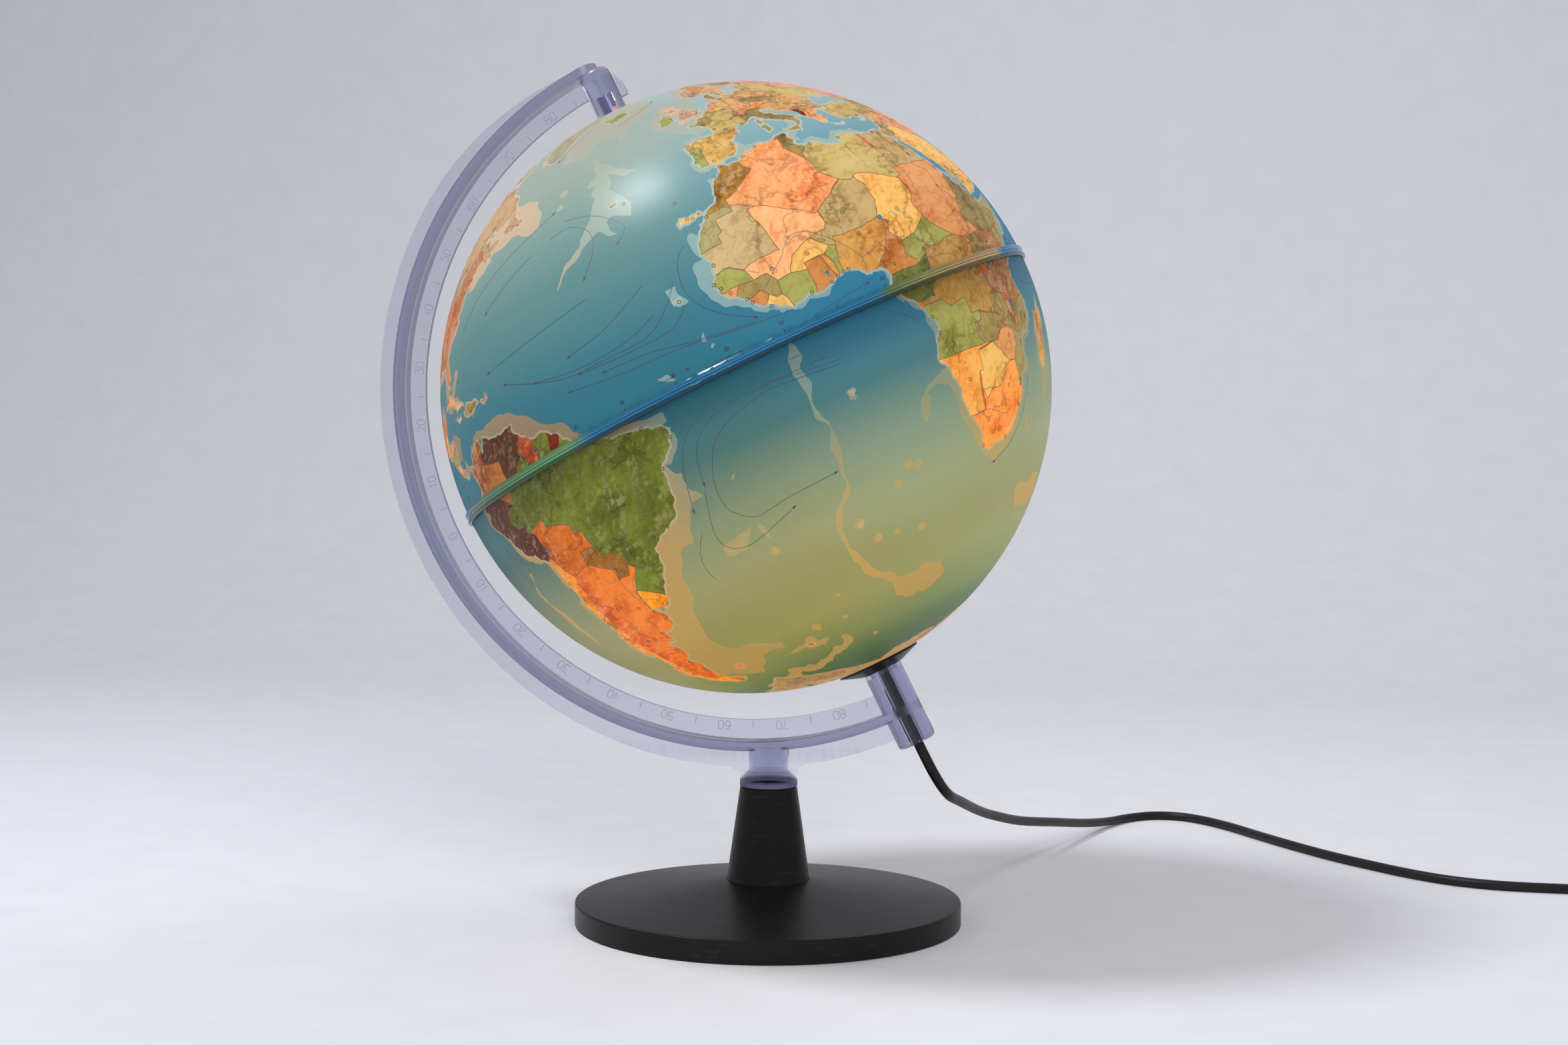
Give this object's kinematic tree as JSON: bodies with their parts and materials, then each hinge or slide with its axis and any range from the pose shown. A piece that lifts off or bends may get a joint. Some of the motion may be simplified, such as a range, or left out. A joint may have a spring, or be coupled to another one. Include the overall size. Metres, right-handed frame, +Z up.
{
  "type": "desktop globe on stand",
  "caption": "Illuminated desk globe turning on a tilted axis in a clear meridian arm, on a round weighted base, with lamp, mains lead, inline switch and plug.",
  "frame": {"origin": "centre of the pad under the base, on the table", "axes": "+Z up; the arm's plane is XZ and the north pole leans towards -X"},
  "size_m": [0.7063, 0.4918, 0.4263],
  "materials": {
    "black_plastic": "satin black moulded plastic",
    "clear_arm": "clear lilac-grey moulded plastic",
    "steel": "zinc-plated steel",
    "ballast": "raw pressed steel weight",
    "pad": "matt black foam rubber",
    "north_map": "translucent printed plastic, glossy",
    "south_map": "translucent printed plastic, glossy",
    "ring_map": "translucent printed plastic, glossy",
    "pole_cap": "translucent warm plastic",
    "holder": "white heat-resistant plastic",
    "insert": "glazed contact insert",
    "bulb_metal": "nickelled brass",
    "bulb_glass": "frosted lamp glass",
    "lead": "black flexible sheath",
    "switch": "black moulded plastic",
    "contact": "plain brass",
    "pins": "nickelled brass"
  },
  "bodies": {
    "stand": {"base_shell": "black_plastic", "neck_cone": "black_plastic", "ballast_plate": "ballast", "base_pad": "pad", "ballast_screws": "steel", "stem_bolt": "steel", "meridian_arm": "clear_arm", "lamp_carrier": "black_plastic", "lamp_holder": "holder", "holder_insert": "insert", "bulb_cap": "bulb_metal", "bulb_glass": "bulb_glass", "inner_lead": "lead", "power_lead": "lead", "lead_coil": "lead", "lead_tail": "lead", "switch_base": "switch", "switch_cover": "switch", "switch_contacts": "contact", "switch_screws": "steel", "plug_body": "switch", "plug_pins": "pins"},
    "globe": {"north_hemisphere": "north_map", "south_hemisphere": "south_map", "equator_ring": "ring_map", "south_dish": "black_plastic", "north_pin": "pole_cap", "north_clip": "steel"},
    "rocker": {"switch_rocker": "switch"}
  },
  "joints": [
    {"name": "globe_spin", "type": "hinge", "parent": "stand", "child": "globe", "pos_m": [-0.012, 0, 0.265], "axis": [-0.4462, 0, 0.8949], "continuous": true},
    {"name": "rocker_tilt", "type": "hinge", "parent": "stand", "child": "rocker", "pos_m": [0.4888, 0.034, 0.015], "axis": [1, 0, 0], "range_deg": [0, 14]}
  ]
}
